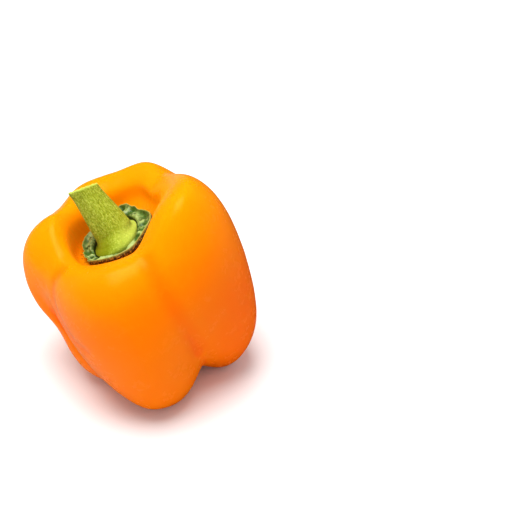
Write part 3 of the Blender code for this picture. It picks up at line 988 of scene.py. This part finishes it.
def stem_finish(settings):
    """Mottled green shaft with pale fibres, an olive foot with painted light paling its right side, and a
    fresh cut.
    """
    made, tree, shader, place = new_finish("stem green")
    value, height = flecks(tree, place, 0.9 * MM)
    along = attribute(tree, "along")
    streak = noise(tree, attribute(tree, "long_place", "Vector"), STREAKS, detail=5.0, roughness=0.75)
    shaft = remap(tree, along, 0.36, 0.5, 0.35, 1.0)
    streak = plus(tree, times(tree, minus(tree, streak, 0.5), shaft), 0.5)
    specks = noise(tree, place, STEM_SPECKS, detail=3.0, roughness=0.7)
    pale = plus(tree, remap(tree, streak, 0.47, 0.62, 0.0, 0.6), remap(tree, specks, 0.5, 0.66, 0.0, 0.6))
    colour = mix(tree, maths(tree, "MINIMUM", pale, 1.0), settings.colour, settings.pale_colour)
    dark = plus(tree, remap(tree, streak, 0.36, 0.5, 0.55, 0.0), remap(tree, specks, 0.36, 0.46, 0.5, 0.0))
    shade = [channel * 0.4 for channel in settings.colour]
    colour = mix(tree, maths(tree, "MINIMUM", dark, 0.8), colour, shade)

    foot = remap(tree, along, 0.30, 0.48, 1.0, 0.0)
    right = separate(tree, vector_maths(tree, "SUBTRACT", place, SEAT_MIDDLE))[0]
    right = plus(tree, right, times(tree, noise(tree, place, FOOT_PATCHES), 5 * MM))
    olive_side = times(tree, remap(tree, right, -3 * MM, 2 * MM, 0.8, 0.0), foot)
    colour = mix(tree, olive_side, colour, settings.foot_colour)
    # Painted light: the right side of the foot is painted paler, where light falls on it.
    painted_light_right = times(tree, remap(tree, right, -2 * MM, 9 * MM, 0.0, 0.58), foot)
    colour = mix(tree, painted_light_right, colour, settings.pale_colour)

    inside = remap(tree, along, SHAFT_END, SHAFT_END + 0.015)
    colour = mix(tree, inside, colour, settings.cut_colour)
    edge = times(
        tree, remap(tree, along, SHAFT_END - 0.02, SHAFT_END),
        remap(tree, along, SHAFT_END + 0.01, SHAFT_END + 0.03, 1.0, 0.0),
    )
    colour = mix(tree, times(tree, edge, 0.8), colour, settings.pale_colour)
    tree.links.new(colour, shader.inputs["Base Color"])
    tree.links.new(remap(tree, value, 0.3, 0.7, 0.45, 0.6), shader.inputs["Roughness"])
    set_numbers(shader, {
        "Specular IOR Level": 0.2,
        "Specular Tint": (0.8, 1.0, 0.2, 1.0),
        "Subsurface Weight": 0.08,
        "Subsurface Radius": (0.6, 1.0, 0.2),
        "Subsurface Scale": 1 * MM,
    })
    relief = plus(tree, plus(tree, times(tree, height, 0.5), specks), streak)
    bumped(tree, shader, relief, 0.7, 0.22 * MM)
    return made


class PEPPER_OT_stem(bpy.types.Operator):
    """Build the stem, from its flared foot to its cut end"""

    bl_idname = "pepper.stem"
    bl_label = "Stem"

    def execute(self, context):
        settings = context.scene.pepper_stem
        turn = SEAT_TURN.to_matrix()
        aim = Vector((-math.tan(STEM_LEAN_LEFT), math.tan(STEM_LEAN_BACK), 1.0)).normalized()
        values = {
            "Columns": settings.columns,
            "Rows": settings.rows,
            "Foot": seat_point((0.0, 0.0, STEM_FOOT_HEIGHT)),
            "Up": turn @ Vector((0.0, 0.0, 1.0)),
            "Aim": turn @ aim,
            "Bend": STEM_BEND,
            "Ribs": float(settings.ribs),
            "Rib depth": settings.rib_depth,
            "Foot stretch": FOOT_STRETCH,
            "Foot shift": FOOT_SHIFT,
            "Fibre depth": settings.fibre_depth,
            "Cut slope": math.tan(CUT_SLANT),
            "Cut slope back": math.tan(CUT_SLANT_BACK),
            "Slant from": SLANT_FROM,
            "Rag": settings.rag,
            "Material": stem_finish(settings),
        }
        empty = bpy.data.meshes.new("stem_shaft")
        piece = grown_with("stem_shaft", empty, stem_tree(), values)
        finish_piece(piece, "stem")
        return {"FINISHED"}


# Stage


def floor_finish(settings):
    """Matt white card. In the skin's gloss it shows as a painted reflection, darker and more orange, most of
    all on the right, which paints shade on the skin.
    """
    made, tree, shader, place = new_finish("floor card")
    value, height = flecks(tree, place, 3 * MM)
    colour = mix(tree, remap(tree, value, 0.3, 0.7, 0.0, 0.02), settings.floor_colour, (1.0, 1.0, 1.0))
    # Painted reflection: glossy rays see the floor in the mirrored colour, a painted shade on the skin's
    # right side.
    mirrored = tree.nodes.new("ShaderNodeLightPath").outputs["Is Glossy Ray"]
    right = remap(tree, separate(tree, place)[0], *MIRROR_FADE, 0.7, 1.0)
    colour = mix(tree, times(tree, mirrored, right), colour, settings.mirrored_colour)
    tree.links.new(colour, shader.inputs["Base Color"])
    set_numbers(shader, {"Roughness": 0.9})
    bumped(tree, shader, height, 0.02, 0.05 * MM)
    return made


def add_floor(settings):
    """A square of card under the pepper."""
    half = FLOOR_HALF
    mesh = bpy.data.meshes.new("floor")
    corners = [(-half, -half, 0), (half, -half, 0), (half, half, 0), (-half, half, 0)]
    mesh.from_pydata(corners, [], [(0, 1, 2, 3)])
    mesh.materials.append(floor_finish(settings))
    floor = add_object("floor", mesh)


def add_surroundings(brightness):
    """White light from all round, which the gloss doesn't mirror."""
    world = bpy.data.worlds.new("white room")
    world.use_nodes = True
    back = world.node_tree.nodes["Background"]
    back.inputs["Color"].default_value = (1.0, 1.0, 1.0, 1.0)
    back.inputs["Strength"].default_value = brightness
    bpy.context.scene.world = world
    world.cycles_visibility.glossy = False


def add_key_light(power):
    """A large soft square light above the pepper."""
    lamp = bpy.data.lights.new("key", "AREA")
    lamp.shape = "SQUARE"
    lamp.size = KEY_SIZE
    lamp.energy = power
    light = add_object("key", lamp)
    light.location = KEY_PLACE
    light.rotation_euler = (KEY_AIM - KEY_PLACE).to_track_quat("-Z", "Y").to_euler()


def add_camera(settings):
    """The camera, in front of the pepper and above it."""
    data = bpy.data.cameras.new("camera")
    data.lens = settings.focal_length
    data.sensor_width = FRAME_WIDTH
    camera = add_object("camera", data)
    tilt = settings.elevation
    back = Vector((0.0, -math.cos(tilt), math.sin(tilt)))
    camera.location = Vector(settings.aim) + settings.distance * back
    camera.rotation_euler = (math.radians(90) - tilt, 0.0, 0.0)
    bpy.context.scene.camera = camera


class PEPPER_OT_stage(bpy.types.Operator):
    """Add the floor, the lights and the camera"""

    bl_idname = "pepper.stage"
    bl_label = "Stage"

    def execute(self, context):
        settings = context.scene.pepper_stage
        add_floor(settings)
        add_surroundings(settings.sky)
        add_key_light(settings.key)
        add_camera(settings)
        context.scene.view_settings.view_transform = "Standard"
        return {"FINISHED"}


class PEPPER_PT_panel(bpy.types.Panel):
    """Lists the pieces of the pepper"""

    bl_idname = "PEPPER_PT_panel"
    bl_label = "Bell Pepper"
    bl_space_type = "VIEW_3D"
    bl_region_type = "UI"
    bl_category = "Pepper"

    def draw(self, context):
        for operator, settings in PIECES:
            box = self.layout.box()
            box.operator(operator.bl_idname)
            group = getattr(context.scene, settings)
            for name in group.bl_rna.properties.keys():
                if name not in ("rna_type", "name"):
                    box.prop(group, name)


PIECES = (
    (PEPPER_OT_fruit, "pepper_skin"),
    (PEPPER_OT_calyx, "pepper_calyx"),
    (PEPPER_OT_stem, "pepper_stem"),
    (PEPPER_OT_stage, "pepper_stage"),
)
SETTINGS = {
    "pepper_skin": SkinSettings,
    "pepper_calyx": CalyxSettings,
    "pepper_stem": StemSettings,
    "pepper_stage": StageSettings,
}


def register():
    """Adds the settings, the operators and the panel."""
    for group in SETTINGS.values():
        bpy.utils.register_class(group)
    for operator, _ in PIECES:
        bpy.utils.register_class(operator)
    bpy.utils.register_class(PEPPER_PT_panel)
    for name, group in SETTINGS.items():
        setattr(bpy.types.Scene, name, PointerProperty(type=group))


def unregister():
    """Takes them away again."""
    for name in SETTINGS:
        delattr(bpy.types.Scene, name)
    bpy.utils.unregister_class(PEPPER_PT_panel)
    for operator, _ in reversed(PIECES):
        bpy.utils.unregister_class(operator)
    for group in reversed(list(SETTINGS.values())):
        bpy.utils.unregister_class(group)


def main():
    """Builds the pepper and its stage."""
    register()
    bpy.ops.pepper.fruit()
    bpy.ops.pepper.calyx()
    bpy.ops.pepper.stem()
    bpy.ops.pepper.stage()


if __name__ == "__main__":
    main()
